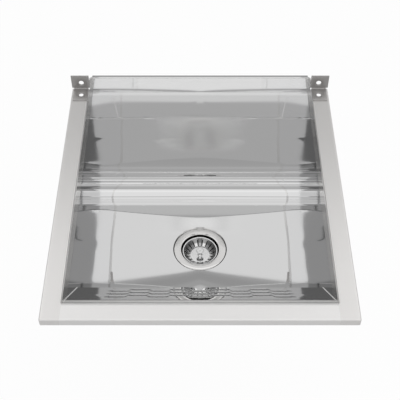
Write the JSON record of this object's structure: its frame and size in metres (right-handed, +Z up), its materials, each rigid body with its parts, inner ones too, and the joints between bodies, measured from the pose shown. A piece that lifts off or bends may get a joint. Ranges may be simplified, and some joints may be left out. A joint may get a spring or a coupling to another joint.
{
  "type": "laundry tub",
  "caption": "Wall-hung stainless steel laundry tub with an upstand, a satin rim, a pressed sloping washboard and a lift-out basket strainer waste.",
  "frame": {"origin": "on the wall, midway between the two wall screw holes of the brackets", "axes": "+X to the right as seen by someone at the tub, +Y into the wall, +Z up; the washboard and the front rim are on the -Y side"},
  "size_m": [0.529, 0.564, 0.5003],
  "materials": {
    "polished_steel": "mirror-polished stainless sheet",
    "satin_steel": "satin stainless, grained along each strip",
    "bracket_steel": "dull mill-finish stainless, slightly grainy",
    "waste_steel": "satin turned stainless",
    "basket_steel": "bright pressed stainless",
    "nut_metal": "dull cast zinc",
    "plated_brass": "chrome-plated brass tube",
    "rubber": "matt black rubber",
    "fibre": "pressed brown fibre",
    "white_plastic": "milky polythene"
  },
  "bodies": {
    "tub": {"wrap_sheet": "polished_steel", "left_side_panel": "polished_steel", "right_side_panel": "polished_steel", "left_rim": "satin_steel", "right_rim": "satin_steel", "front_rim": "satin_steel", "left_bracket": "bracket_steel", "right_bracket": "bracket_steel", "strainer_body": "waste_steel", "flange_seal": "rubber", "under_washer": "rubber", "fibre_ring": "fibre", "lock_nut": "nut_metal", "tail_washer": "white_plastic", "tail_nut": "plated_brass", "tailpiece": "plated_brass"},
    "basket": {"basket_shell": "basket_steel", "basket_knob": "basket_steel", "stopper_seal": "rubber", "backing_washer": "basket_steel", "post_nut": "nut_metal"}
  },
  "joints": [
    {"name": "basket_lift", "type": "slide", "parent": "tub", "child": "basket", "axis": [0, 0, 1], "range_m": [0, 0.12]}
  ]
}
